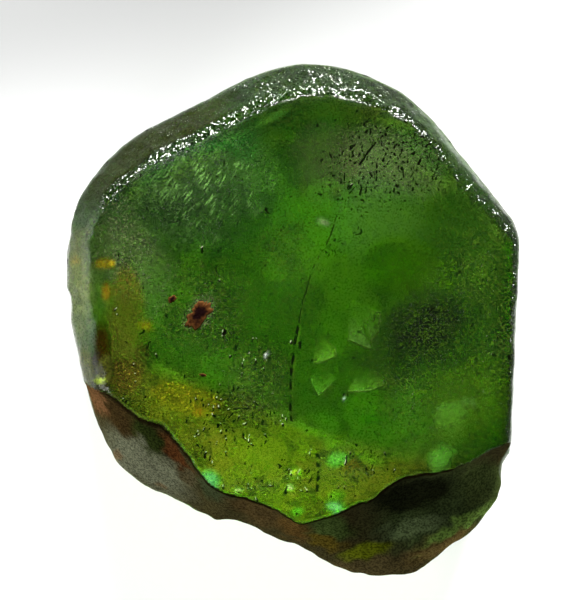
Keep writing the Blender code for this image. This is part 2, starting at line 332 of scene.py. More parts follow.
# Light takes a colour where it passes the broad face: middle, half widths, turn, colour.
TINTED = [
    ((-10.4, 6.2), (2.4, 2.4), 0, (0.25, 0.75, 0.8)),
    ((-6.0, 10.2), (3.4, 1.4), 28, (0.2, 0.7, 0.8)),
    ((-3.4, 10.2), (1.6, 1.2), 20, (0.3, 0.9, 1.0)),
    ((-7.0, 5.9), (2.4, 1.2), 15, (0.2, 0.35, 0.25)),
    ((-7.6, 8.4), (1.6, 0.9), 40, (0.2, 0.45, 0.6)),
    ((1.0, 12.2), (3.4, 1.5), 0, (0.35, 0.7, 0.6)),
    ((-1.0, 8.4), (10.0, 5.5), 0, (0.6, 1.2, 1.2)),
    ((9.5, 5.5), (3.5, 4.5), 0, (0.25, 0.4, 0.6)),
    ((7.6, -0.5), (4.8, 2.7), 6, (0.07, 0.08, 0.1)),
    ((0.0, 4.8), (1.6, 3.4), 0, (0.6, 0.6, 1.0)),
    ((-2.8, -3.2), (3.6, 4.4), 10, (0.42, 0.36, 0.3)),
    ((-4.2, 0.4), (3.4, 2.2), 0, (0.7, 0.6, 0.5)),
    ((5.6, -2.8), (1.7, 3.6), 10, (0.5, 0.45, 0.5)),
    ((7.8, -7.0), (2.4, 1.2), 0, (0.4, 0.45, 0.4)),
    ((7.0, -1.2), (1.8, 2.2), 0, (0.4, 0.5, 0.5)),
    ((11.5, -7.6), (2.6, 2.6), 0, (0.5, 0.5, 0.4)),
    ((5.0, 1.0), (7.8, 6.8), 0, (0.46, 0.42, 0.4)),
    ((-4.6, 10.5), (5.8, 1.3), 27, (0.2, 0.55, 0.8)),
    ((7.3, 10.1), (5.0, 1.7), -47, (0.06, 0.16, 0.16)),
    ((-9.3, 7.8), (1.5, 1.0), 40, (0.25, 0.5, 0.6)),
    ((-0.8, 12.1), (1.6, 0.9), 15, (0.3, 0.5, 0.8)),
    ((12.9, 1.5), (1.2, 5.5), 0, (0.3, 0.35, 0.3)),
    ((-8.0, -4.6), (4.2, 3.0), -20, (1.2, 1.5, 0.5)),
    ((-9.0, -2.9), (1.4, 1.8), -20, (0.12, 0.14, 0.1)),
    ((6.2, 3.7), (2.7, 1.6), -10, (0.8, 1.7, 0.15)),
    ((3.3, -6.3), (0.8, 0.7), 0, (0.4, 0.35, 0.2)),
    ((5.8, -7.4), (1.1, 0.8), 0, (0.5, 0.6, 0.5)),
    ((3.6, -8.2), (0.9, 0.6), 20, (1.0, 0.3, 0.3)),
    ((4.7, 12.6), (1.2, 0.7), 0, (1.0, 0.6, 0.5)),
    ((2.4, 8.0), (0.6, 0.5), 0, (1.0, 0.5, 0.4)),
    ((0.5, 8.1), (0.5, 0.9), 0, (1.0, 0.6, 0.4)),
    ((-9.8, -0.2), (2.2, 3.8), 0, (1.0, 0.45, 0.3)),
]
tint = np.ones((len(points), 3))
for middle, radii, turn, colour in TINTED:
    tint = dimmed(tint, patch(loose, middle, radii, turn, 1.5) * broad, colour)

# Over the hollow of the break the light comes through yellow, and darker at its bend.
# The line is the upper edge of the hollow, seen through the broad face.
HOLLOW_EDGE = [
    (-13.0, -1.6), (-9.5, -2.4), (-6.6, -3.2), (-5.0, -3.6), (-3.5, -4.2),
    (-0.15, -5.8), (2.3, -7.1), (5.3, -7.7), (9.5, -8.4),
]
YELLOW_LIGHT, BEND_SHADE = (0.56, 0.12, 0.02), (0.45, 0.4, 0.4)
below = np.interp(x, *np.array(HOLLOW_EDGE).T) - y + 0.25 * drift[:, 0]
over_hollow = eased(below, -1.0, 0.5) * (1 - broken)
tint = dimmed(tint, over_hollow, YELLOW_LIGHT)
near_bend = over_hollow * (1 - eased(below, 0.8, 3.6))
near_bend *= eased(x, -5.5, -3.5) * (1 - eased(x, 1.5, 4.0))
tint = np.minimum(dimmed(tint, near_bend, BEND_SHADE), 1)

# The rims and the outermost edges are darker than the broad face.
LIP_SHADE, RIM_SHADE = (0.25, 0.22, 0.3), (0.16, 0.38, 0.18)
UPPER_LEFT_SHADE, UPPER_RIGHT_SHADE = (0.45, 0.55, 0.35), (0.5, 0.4, 0.5)
RIGHT_EDGE_SHADE = (0.3, 0.25, 0.3)
upper_left = rim * eased(-x, 2.0, 5.0) * eased(y, 4.5, 6.5)
upper_right = rim * eased(x, 3.0, 6.0)
right_edge = eased(x, 11.5, 12.4) * eased(z, 5.0, 8.0) * (1 - broken)
tint = dimmed(tint, at_lip * (1 - broad), LIP_SHADE)
tint = dimmed(tint, rim, RIM_SHADE)
tint = dimmed(tint, upper_left, UPPER_LEFT_SHADE)
tint = dimmed(tint, upper_right, UPPER_RIGHT_SHADE)
tint = dimmed(tint, right_edge, RIGHT_EDGE_SHADE)

# Small places are tinted clear, painted light that lets the hollow below show through as
# bright spots. The columns are the same.
PAINTED_LIGHT_WINDOWS = [
    ((-4.75, -9.2), (0.9, 0.7), -40, (0.5, 1.0, 0.7)),
    ((0.15, -8.9), (0.55, 0.4), 20, (1.0, 0.75, 0.05)),
    ((2.7, -8.05), (0.85, 0.55), 15, (0.3, 1.0, 0.2)),
    ((2.4, -10.9), (0.9, 0.6), -15, (0.4, 1.0, 0.6)),
    ((2.5, -10.2), (0.7, 0.4), 0, (0.8, 0.8, 0.05)),
    ((-0.2, -9.75), (0.35, 0.25), 0, (1.0, 0.9, 0.4)),
    ((-3.2, -9.8), (0.35, 0.2), 0, (1.0, 0.8, 0.3)),
    ((2.7, -7.0), (1.1, 0.7), 20, (0.7, 0.45, 0.05)),
    ((4.5, -8.0), (1.2, 0.5), -20, (0.8, 0.5, 0.05)),
    ((4.6, -5.6), (1.1, 0.45), 0, (0.4, 0.8, 0.1)),
    ((0.1, -11.1), (0.5, 0.3), 10, (0.6, 0.9, 0.4)),
    ((2.9, -4.7), (0.18, 0.25), 0, (0.8, 1.0, 1.0)),
    ((8.65, -7.95), (1.1, 1.0), 0, (0.8, 0.9, 0.4)),
    ((9.2, -5.4), (1.2, 1.0), 0, (0.8, 0.9, 0.3)),
]
for middle, radii, turn, colour in PAINTED_LIGHT_WINDOWS:
    share = patch(points + 0.2 * drift, middle, radii, turn, 1.3) * broad
    tint = toward(tint, share, colour)

# A thin bloom or stain lies on the glass, and a few small spots are painted glints: middle,
# half widths, turn, cover and colour.
BLOOMS_AND_PAINTED_LIGHT = [
    ((-12.7, 1.6), (1.2, 6.5), 0, 0.26, (0.42, 0.44, 0.13)),
    ((5.2, 9.0), (4.2, 2.8), -15, 0.13, (0.33, 0.48, 0.15)),
    ((1.8, 9.4), (2.6, 2.8), 0, 0.05, (0.34, 0.42, 0.14)),
    ((10.2, -4.4), (3.4, 3.2), 0, 0.06, (0.22, 0.5, 0.01)),
    ((-9.4, -3.7), (2.0, 1.5), -25, 0.05, (0.2, 0.34, 0.03)),
    ((-10.4, 4.8), (1.2, 2.2), 0, 0.06, (0.5, 0.46, 0.14)),
    ((4.9, 5.8), (3.4, 2.8), -20, 0.035, (0.28, 0.5, 0.14)),
    ((7.0, 3.1), (3.4, 2.2), -15, 0.05, (0.2, 0.6, 0.0)),
    ((7.8, -0.6), (4.8, 2.8), 6, 0.0, (0.11, 0.25, 0.01)),
    ((-12.2, -2.6), (1.2, 1.8), 0, 0.35, (0.27, 0.31, 0.06)),
    # Two painted glints.
    ((-1.66, -1.99), (0.13, 0.26), -30, 0.65, (0.8, 0.85, 0.8)),
    ((2.87, -4.6), (0.15, 0.2), 0, 0.5, (0.55, 0.85, 0.65)),
    ((-9.4, 3.4), (3.2, 4.4), 0, 0.045, (0.34, 0.43, 0.16)),
    ((-9.8, -0.6), (1.6, 4.4), 0, 0.04, (0.6, 0.4, 0.05)),
    ((-11.2, 3.4), (0.75, 0.45), 8, 0.25, (0.5, 0.34, 0.01)),
    ((-10.7, 3.4), (0.3, 0.3), 0, 0.45, (0.7, 0.5, 0.02)),
    ((-11.1, 1.7), (0.4, 0.8), 0, 0.3, (0.45, 0.2, 0.01)),
    ((-12.8, 3.6), (0.5, 0.45), 0, 0.4, (0.6, 0.5, 0.1)),
    ((-8.5, -0.4), (0.6, 0.5), 0, 0.12, (0.7, 0.4, 0.01)),
    ((-6.3, -4.7), (2.4, 1.0), -15, 0.04, (0.75, 0.58, 0.02)),
    ((-5.6, -5.4), (0.5, 0.35), 0, 0.15, (0.7, 0.3, 0.01)),
    ((-11.3, -1.5), (0.8, 2.0), 0, 0.95, (0.022, 0.013, 0.001)),
    ((-11.05, -3.1), (0.75, 1.5), 0, 0.7, (0.06, 0.065, 0.008)),
    ((-11.3, -3.5), (0.55, 0.3), -8, 0.95, (0.35, 0.48, 0.06)),
    ((1.7, 6.0), (0.55, 0.3), -20, 0.14, (0.6, 0.7, 0.35)),
]
# Others are painted bright spots: painted light standing for the light that little cracks
# under the face throw back.
BLOOMS_AND_PAINTED_LIGHT += [
    ((-4.6, 7.7), (5.6, 4.4), 20, 0.02, (0.21, 0.46, 0.1)),
    ((-5.4, 0.6), (1.25, 0.85), 52, 0.08, (0.45, 0.5, 0.2)),
    ((8.65, -8.0), (0.95, 0.95), 0, 0.2, (0.2, 0.62, 0.06)),
    ((9.2, -5.5), (1.1, 1.0), 0, 0.07, (0.3, 0.7, 0.05)),
    ((-4.75, -9.2), (0.75, 0.55), -40, 0.25, (0.2, 0.75, 0.3)),
    ((-4.6, -9.7), (0.8, 0.2), -38, 0.4, (0.6, 0.85, 0.6)),
    ((2.7, -8.0), (0.7, 0.45), 15, 0.22, (0.3, 0.9, 0.1)),
    ((0.15, -8.9), (0.4, 0.3), 20, 0.3, (0.7, 0.8, 0.05)),
    ((2.3, -10.9), (0.7, 0.4), -15, 0.25, (0.3, 0.8, 0.3)),
    ((-0.2, -9.75), (0.25, 0.2), 0, 0.4, (0.9, 0.9, 0.4)),
    ((-3.2, -9.8), (0.25, 0.15), 0, 0.4, (0.9, 0.8, 0.4)),
]
ETCH_COVER, ETCH_COLOUR = 0.012, (0.22, 0.4, 0.03)
cover = ETCH_COVER * etched
bloom = np.tile(ETCH_COLOUR, (len(points), 1))
on_front = eased(z, 7.0, 9.0)
for middle, radii, turn, amount, colour in BLOOMS_AND_PAINTED_LIGHT:
    share = oval(points + 0.25 * drift, middle, radii, turn) * on_front
    share = np.minimum(1.5 * share, 1) * (1 - broken)
    cover = np.maximum(cover, amount * share)
    bloom = toward(bloom, np.minimum(6 * share, 1), colour)

# The outer part of the upper left bevel is worn dull, and darkened with painted shade.
DULL_SHADE_COVER, DULL_SHADE_COLOUR = 0.38, (0.04, 0.05, 0.01)
dull_shade = upper_left * (1 - eased(tilt, 0.74, 0.84))
cover = np.maximum(cover, DULL_SHADE_COVER * dull_shade)
bloom = toward(bloom, np.minimum(8 * dull_shade, 1), DULL_SHADE_COLOUR)

# A faint pale ring, where a small healed crack comes up to the face.
RING_X, RING_Y, RING_HALF_WIDTH, RING_HALF_HEIGHT = -2.99, -2.93, 0.42, 0.8
RING_LINE, RING_COVER = 0.2, 0.08
from_ring = np.hypot((x - RING_X) / RING_HALF_WIDTH, (y - RING_Y) / RING_HALF_HEIGHT)
cover = np.maximum(cover, RING_COVER * (hump(from_ring - 1, RING_LINE) * broad))

# The break is stained brown by iron and grey where it is frosted. Its hollow is darkened
# with painted shade, and the ridge below it is lit with a painted highlight.
STAINS_AND_PAINTED_LIGHT = [
    ((-8.9, -8.5), (4.4, 1.9), -38, (0.22, 0.235, 0.14)),
    ((-10.4, -8.0), (0.6, 0.45), -30, (0.24, 0.18, 0.09)),
    ((-8.0, -9.9), (0.5, 0.3), -20, (0.2, 0.16, 0.08)),
    ((-10.2, -5.6), (2.2, 1.5), -40, (0.075, 0.048, 0.015)),
    ((-8.6, -6.8), (2.0, 0.9), -45, (0.035, 0.052, 0.01)),
    ((-11.6, -4.6), (0.8, 1.3), 10, (0.24, 0.12, 0.045)),
    ((-7.0, -7.8), (2.3, 0.6), -52, (0.12, 0.045, 0.013)),
    ((-6.3, -9.3), (0.9, 0.5), -35, (0.13, 0.11, 0.05)),
    ((-4.6, -9.9), (1.8, 0.8), -22, (0.07, 0.09, 0.035)),
    ((-2.2, -10.9), (2.2, 1.1), -30, (0.13, 0.09, 0.03)),
    ((0.0, -12.0), (1.5, 1.0), -35, (0.17, 0.1, 0.025)),
    ((9.0, -11.5), (6.0, 4.5), 0, (0.1, 0.15, 0.045)),
    ((2.2, -12.1), (2.2, 0.8), -10, (0.1, 0.16, 0.035)),
    ((2.0, -12.9), (1.8, 0.6), -15, (0.16, 0.12, 0.015)),
    ((5.1, -14.5), (5.0, 0.9), 2, (0.14, 0.11, 0.04)),
    ((8.6, -13.2), (3.4, 0.9), 28, (0.28, 0.2, 0.06)),
    ((11.4, -9.6), (2.4, 1.8), 0, (0.12, 0.17, 0.045)),
    ((7.0, -12.2), (3.0, 0.8), 15, (0.24, 0.34, 0.13)),
    # Painted highlight along the top of the ridge.
    ((9.6, -12.1), (3.6, 0.5), 33, (0.36, 0.62, 0.11)),
    ((4.2, -13.6), (2.0, 0.6), 12, (0.24, 0.3, 0.012)),
    # Painted shade in the hollow above the ridge.
    ((7.0, -10.0), (4.0, 1.3), 12, (0.026, 0.032, 0.012)),
]
BREAK_COLOUR, CRUMB_SEEDS = (0.08, 0.07, 0.025), (14, 15, 16)
stain_and_painted_light = np.tile(BREAK_COLOUR, (len(points), 1))
crumbs = np.column_stack([lumps(points, 0.55, seed) for seed in CRUMB_SEEDS])
ragged = points + 0.35 * drift + 0.3 * crumbs
for middle, radii, turn, colour in STAINS_AND_PAINTED_LIGHT:
    stain_and_painted_light = toward(stain_and_painted_light, patch(ragged, middle, radii, turn, 1.8), colour)
stained_and_painted = broken * eased(z, 4.0, 6.5)
cover = np.maximum(cover, stained_and_painted)
bloom = toward(bloom, stained_and_painted, stain_and_painted_light)

# The lip between the broad face and the break is covered with a thin dark line.
LIP_COVER, LIP_COLOUR = 0.85, (0.02, 0.013, 0.004)
lip = 4 * broken * (1 - broken) * eased(z, 11.6, 12.4)
lip = np.maximum(lip, broken * eased(z, 12.5, 12.8))
cover = np.maximum(cover, LIP_COVER * lip)
bloom = toward(bloom, lip, LIP_COLOUR)

# The outermost edge is covered with painted shade where the side faces turn away under the
# rim.
STEEP_SHADE_COVER, STEEP_SHADE_COLOUR = 0.6, (0.01, 0.015, 0.006)
steep_shade = (1 - eased(np.abs(tilt), 0.1, 0.35)) * eased(z, 5.0, 7.5) * (1 - broken)
steep_shade *= eased(y + 0.3 * x, 2.0, 6.0)
cover = np.maximum(cover, STEEP_SHADE_COVER * steep_shade)
bloom = toward(bloom, steep_shade, STEEP_SHADE_COLOUR)

for name, values in {
    "broken": broken, "rim": rim, "broad_face": broad, "etched": etched, "tint": tint,
    "cover": cover, "bloom": bloom, "crack_gap": crack_gap, "scratch_gap": scratch_gap,
    "hairy": hairy, "pitted": pitted, "fresh": fresh, "frosted": frosted,
    "over_hollow": over_hollow, "glinting_pits": glinting_pits,
}.items():
    keep(mesh, name, values)


class Shade:
    """One output of a shader node. It adds and multiplies as a number does."""

    def __init__(self, tree, plug=None):
        self.tree = tree
        self.plug = plug

    def node(self, kind, settings=None, values=None, output=0):
        """Adds a node, with its settings and the values or links of its sockets."""
        made = self.tree.nodes.new("ShaderNode" + kind)
        for name, value in (settings or {}).items():
            if name == "stops":
                ramp = made.color_ramp
                while len(ramp.elements) < len(value):
                    ramp.elements.new(1.0)
                for stop, (place, colour) in zip(ramp.elements, value):
                    stop.position = place
                    stop.color = colour
            else:
                setattr(made, name, value)
        for name, value in (values or {}).items():
            if isinstance(value, Shade):
                self.tree.links.new(value.plug, made.inputs[name])
            else:
                made.inputs[name].default_value = value
        return Shade(self.tree, made.outputs[output] if made.outputs else None)

    def other(self, output):
        """Another output of the same node."""
        return Shade(self.tree, self.plug.node.outputs[output])

    def math(self, operation, first, second=0.0):
        return self.node("Math", {"operation": operation}, {0: first, 1: second})

    def __add__(self, other):
        return self.math("ADD", self, other)

    def __sub__(self, other):
        return self.math("SUBTRACT", self, other)

    def __rsub__(self, other):
        return self.math("SUBTRACT", other, self)

    def __mul__(self, other):
        return self.math("MULTIPLY", self, other)

    def __truediv__(self, other):
        return self.math("DIVIDE", self, other)

    def __lt__(self, other):
        return self.math("LESS_THAN", self, other)

    def __abs__(self):
        return self.math("ABSOLUTE", self)

    __radd__ = __add__
    __rmul__ = __mul__


def new_material(name):
    material = bpy.data.materials.new(name)
    material.use_nodes = True
    material.node_tree.nodes.clear()
    return material, Shade(material.node_tree)


def larger(first, second):
    return first.math("MAXIMUM", first, second)


def vector(operation, first, second):
    return first.node("VectorMath", {"operation": operation}, {0: first, 1: second})


def blend(factor, first, second, way="MIX"):
    """Goes from the first colour to the second as the factor goes from 0 to 1."""
    colours = {"Factor": factor, 6: first, 7: second}
    settings = {"data_type": "RGBA", "blend_type": way}
    return factor.node("Mix", settings, colours, output=2)


def ramp_up(value, low, high):
    """0 up to the low value, 1 from the high one, with an eased step between."""
    limits = {"Value": value, "From Min": low, "From Max": high}
    return value.node("MapRange", {"interpolation_type": "SMOOTHSTEP"}, limits)


def kept(sheet, name, output="Fac"):
    """What the mesh keeps at each point: a number, or a colour from the Color output."""
    return sheet.node("Attribute", {"attribute_name": name}, output=output)


def millimetres(sheet):
    """The place on the piece, in millimetres."""
    metres = sheet.node("TexCoord", output="Object")
    return vector("MULTIPLY", metres, (1 / MM, 1 / MM, 1 / MM))


def noise(place, size, detail=2.0):
    """Cloudy noise from 0 to 1, with clouds about that many millimetres across."""
    values = {"Vector": place, "Scale": 1.0 / size, "Detail": detail}
    return place.node("TexNoise", None, values)


def turned(place, degrees, scale):
    """The same place, turned about the upright axis, so that patterns stretch there."""
    settings = {"vector_type": "TEXTURE"}
    values = {0: place, "Rotation": (0, 0, math.radians(degrees)), "Scale": scale}
    return place.node("Mapping", settings, values)


def pits(place, size, radius, share):
    """Scattered round pits: one in a share of the cells, 1 in the middle of each."""
    flat = {"voronoi_dimensions": "2D"}
    near = place.node("TexVoronoi", flat, {"Vector": place, "Scale": 1.0 / size})
    draw = near.node("SeparateColor", None, {0: near.other("Color")})
    bowl = 1.0 - ramp_up(near, radius * 0.6 / size, radius / size)
    return bowl * (draw < share)


def facets(place, size):
    """Small flat facets, each leaning its own way: the height above the mean surface."""
    cell = place.node("TexVoronoi", None, {"Vector": place, "Scale": 1.0 / size})
    lean = vector("SUBTRACT", cell.other("Color"), (0.5, 0.5, 0.5))
    off = vector("SUBTRACT", place, cell.other("Position"))
    return vector("DOT_PRODUCT", lean, off).other(1)


# What the etching left on the stone. Lengths are in millimetres.
GRAIN, GRAIN_HEIGHT, FACET, CURL = 0.12, 0.06, 0.075, 0.21
HAIR, HAIR_STRETCH, HAIR_LEAN = 0.09, (6.0, 1.0, 1.0), 55
BREAK_GRAIN, BREAK_GRAIN_HEIGHT = 0.3, 0.03
PIT_CELL, PIT_STRETCH, PIT_LEAN, PIT_RADIUS = 0.22, (1.0, 1.7, 1.0), -15, 0.066
# Painted glints beside the pits: their size, and how far they are moved from the pit.
PAINTED_GLINT_RADIUS, PAINTED_GLINT_PLACE = 0.038, (0.05, -0.07, 0.0)
STRAY_SCALE, STRAY = 1.2, (0.9, 0.9, 0.0)
# How far the crack's painted highlight lies to its right.
CRACK_HIGHLIGHT_OFFSET = 0.13
# The stone's own light and colour, and what dims it.
STONE_IOR, STONE_COLOUR, STONE_DENSITY = 1.67, (0.66, 0.88, 0.02, 1.0), 240.0
GROOVE_TINT = (0.02, 0.02, 0.01, 1.0)
GRAIN_TINT = (0.05, 0.13, 0.05, 1.0)
MOTTLE_TINT = (0.2, 0.35, 0.2, 1.0)
# What lies on it: black between the specks, painted shade in the pits and a dark colour in
# the crack and scratch, and painted glints beside pits.
BLACK = (0.0, 0.0, 0.0, 1.0)
PIT_SHADE_AND_CRACK_DARK = (0.002, 0.002, 0.001, 1.0)
PAINTED_GLINT = (0.5, 0.56, 0.34, 1.0)


def peridot():
    material, sheet = new_material("peridot")
    place = millimetres(sheet)
    broken, rim, etched = kept(sheet, "broken"), kept(sheet, "rim"), kept(sheet, "etched")
    broad, over_hollow = kept(sheet, "broad_face"), kept(sheet, "over_hollow")
    fresh, frosted = kept(sheet, "fresh"), kept(sheet, "frosted")
    hairy = kept(sheet, "hairy")

    # Small pits, some with a painted glint at their edge.
    clouds = place.node("TexNoise", None, {"Vector": place, "Scale": STRAY_SCALE}, output=1)
    stray = vector("MULTIPLY", vector("SUBTRACT", clouds, (0.5, 0.5, 0.5)), STRAY)
    pit_place = vector("ADD", turned(place, PIT_LEAN, PIT_STRETCH), stray)
    painted_glint_place = vector("ADD", pit_place, PAINTED_GLINT_PLACE)
    small_pits = pits(pit_place, PIT_CELL, PIT_RADIUS, kept(sheet, "pitted"))
    painted_pit_glints = pits(painted_glint_place, PIT_CELL, PAINTED_GLINT_RADIUS, kept(sheet, "glinting_pits"))

    # The crack is a row of dashes with a painted highlight along its right side, and the
    # scratch is a line.
    crack, scratch = kept(sheet, "crack_gap"), abs(kept(sheet, "scratch_gap"))
    dashes = ramp_up(noise(place, 0.5, 3.0), 0.41, 0.51)
    crack_line = (1.0 - ramp_up(abs(crack), 0.04, 0.11)) * dashes
    lines = broad * larger(crack_line, 1.0 - ramp_up(scratch, 0.03, 0.09))
    crack_highlight = broad * dashes * (1.0 - ramp_up(abs(crack - CRACK_HIGHLIGHT_OFFSET), 0.01, 0.05))
    dark = larger(small_pits, lines)

    # The relief is etched grain, fresh facets on the rims and coarser grain on the break.
    fine = noise(place, GRAIN, 1.0)
    relief = (0.03 + 0.5 * etched) * GRAIN_HEIGHT * fine
    relief = relief + (1.1 * fresh + 0.3 * etched) * facets(place, FACET)
    relief = relief + broken * BREAK_GRAIN_HEIGHT * noise(place, BREAK_GRAIN, 1.0)
    bump = sheet.node("Bump", None, {"Strength": 1.0, "Distance": MM, "Height": relief})

    tint = blend(dark, kept(sheet, "tint", "Color"), GROOVE_TINT)
    grain = ramp_up(fine, 0.52, 0.38)
    tint = blend(grain * (0.7 + etched), tint, GRAIN_TINT, "MULTIPLY")
    mottle = ramp_up(noise(place, 0.9, 4.0), 0.5, 0.36)
    tint = blend((0.35 + 0.55 * over_hollow) * mottle, tint, MOTTLE_TINT, "MULTIPLY")
    stone = sheet.node(
        "BsdfPrincipled",
        None,
        {
            "Base Color": tint,
            "Roughness": 0.18 + 0.1 * etched - 0.14 * rim + 0.15 * broken + 0.3 * frosted,
            "IOR": STONE_IOR,
            "Specular IOR Level": 0.2,
            "Transmission Weight": 1.0,
            "Normal": bump,
        },
    )

    # The crust is what lies on the glass: stain on the break, bloom, a dark colour in the
    # crack and painted shade in the pits; painted glints, bright spots, highlights and
    # shade also go into it.
    specks = ramp_up(noise(place, 0.13, 3.0), 0.36, 0.62)
    crust_and_painted_colour = blend(0.65 - 0.65 * specks, kept(sheet, "bloom", "Color"), BLACK)
    crust_and_painted_colour = blend(ramp_up(dark, 0.0, 0.1), crust_and_painted_colour, PIT_SHADE_AND_CRACK_DARK)
    painted_glinting = ramp_up(painted_pit_glints, 0.0, 0.5) * (1.0 - dark)
    crust_and_painted_colour = blend(painted_glinting, crust_and_painted_colour, PAINTED_GLINT)
    crust = sheet.node(
        "BsdfPrincipled",
        None,
        {
            "Base Color": crust_and_painted_colour,
            "Roughness": 0.7,
            "Specular IOR Level": 0.0,
            "Normal": bump,
        },
    )

    # Where it covers the stone: hairs and curls of etching, painted glints and highlights,
    # flecks and dark lines.
    hairs = ramp_up(noise(turned(place, HAIR_LEAN, HAIR_STRETCH), HAIR, 0.5), 0.52, 0.66)
    patches = ramp_up(noise(place, 0.9, 1.0), 0.4, 0.6)
    curls = 1.0 - ramp_up(abs(noise(place, CURL, 0.0) - 0.5), 0.02, 0.08)
    hair_cover, curl_cover = 0.55 * hairy * hairs * patches, (0.42 - 0.3 * hairy) * curls
    etching = (0.1 + etched) * (hair_cover + curl_cover)
    painted_sparks = (0.6 * painted_pit_glints + 0.2 * crack_highlight) * (1.0 - dark)
    flecks = 0.3 * over_hollow * ramp_up(fine, 0.6, 0.68)
    cover = larger(kept(sheet, "cover"), larger(larger(etching, painted_sparks), flecks))
    cover = larger(cover, 0.92 * dark)
    surface = sheet.node("MixShader", None, {0: cover, 1: stone, 2: crust})
    inside = {"Color": STONE_COLOUR, "Density": STONE_DENSITY}
    depth = sheet.node("VolumeAbsorption", None, inside)
    sheet.node("OutputMaterial", None, {"Surface": surface, "Volume": depth})
    return material


mesh.materials.append(peridot())
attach(crystal, "root")
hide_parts("peridot_crystal")


# Old cracks inside the crystal have healed into thin pale veils and round pads, which
# catch the light as they lean. Each is a thin closed lens, and all are one piece here.
LENS_GRID, LENS_THICKNESS = 20, 0.03
VEIL_BOTTOM, VEIL_CLIMB, VEIL_SAG = 11.5, 1.05, 0.15
# The colour of the painted highlight on a veil's outer edge.
VEIL_HIGHLIGHT_COLOUR = (0.6, 0.9, 0.25)
PAD_CROWN = 0.15

# A veil's outer edge, which carries a painted highlight, the point it fades towards, its
# density and colour.
VEILS = [
    (
        [
            (3.1, -1.1), (3.8, -1.4), (4.64, -1.74), (4.6, -1.1),
            (5.05, -0.7), (5.1, 0.0), (5.16, 0.6),
        ],
        (3.3, 1.3), 0.75, (0.28, 0.8, 0.05),
    ),
    (
        [(1.1, -2.5), (1.75, -2.4), (2.54, -2.06), (2.5, -1.5)],
        (1.4, -0.6), 0.55, (0.3, 0.8, 0.03),
    ),
    (
        [(0.95, -3.2), (1.2, -3.9), (1.5, -4.45), (2.0, -3.9), (2.6, -3.3)],
        (1.8, -2.6), 0.32, (0.22, 0.74, 0.03),
    ),
    (
        [(3.1, -4.1), (4.0, -4.15), (4.7, -4.0), (5.5, -3.7), (5.3, -3.2)],
        (4.1, -2.4), 0.5, (0.26, 0.8, 0.02),
    ),
]
# A pad's middle, half width, lean towards the lower end and sideways, colour and density.
PADS = [
    ((8.65, -7.95, 12.3), 0.85, 15, 10, (0.2, 0.72, 0.06), 0.7),
    ((9.2, -5.4, 12.1), 0.9, 15, -10, (0.25, 0.72, 0.07), 0.45),
    ((10.2, -4.8, 12.2), 0.5, 25, 0, (0.35, 0.7, 0.2), 0.3),
]
step = np.linspace(-1, 1, LENS_GRID)
across, down = np.meshgrid(step, step)


def veil(edge, towards, density, colour):
    """A fan of points, with how much each one shows and its colour."""
    place = (across + 1) / 2 * (len(edge) - 1)
    along_edge = [np.interp(place, range(len(edge)), axis) for axis in np.array(edge).T]
    rim = np.stack(along_edge, -1)
    out = (1 - down) / 2
    flat = np.array(towards) + (rim - towards) * (0.1 + 0.9 * out[..., None])
    height = VEIL_BOTTOM + VEIL_CLIMB * out - VEIL_SAG * out * across**2
    # The outer edge shows more and is painted brighter: a painted highlight.
    line = eased(out, 0.94, 1.0)
    show = (1.4 * density * out**1.6 + 0.35 * line) * (1 - across**2) ** 0.3
    edge_highlight = line[..., None] * (np.array(VEIL_HIGHLIGHT_COLOUR) - colour)
    return np.concatenate([flat, height[..., None]], -1), show, colour + edge_highlight


def pad(number, middle, half, lean, sideways, colour, density):
    """A ragged disc of points, with how much each one shows and its colour."""
    right = across * np.sqrt(1 - down**2 / 2)
    up = down * np.sqrt(1 - across**2 / 2)
    reach = np.hypot(right, up)
    turn = np.arctan2(down, across)
    ragged = 1 + 0.18 * np.sin(2 * turn + number) + 0.1 * np.sin(5 * turn + 2 * number)
    x = half * ragged * right
    y = half * ragged * up
    z = y * math.tan(math.radians(lean)) + x * math.tan(math.radians(sideways))
    sheet = np.stack([x, y, z - PAD_CROWN * half * reach**2], -1) + middle
    return sheet, density * (1 - reach**3), np.tile(colour, (*reach.shape, 1))


# A lens is made of a square sheet of points. Its upper and lower skins share their rim.
grid = np.arange(LENS_GRID**2).reshape(LENS_GRID, LENS_GRID)
inner = np.zeros(grid.shape, bool)
inner[1:-1, 1:-1] = True
under = grid.copy()
under[inner] = grid.size + np.arange(inner.sum())


def skin_faces(skin):
    corners = [skin[:-1, :-1], skin[:-1, 1:], skin[1:, 1:], skin[1:, :-1]]
    return np.stack(corners, -1).reshape(-1, 4)


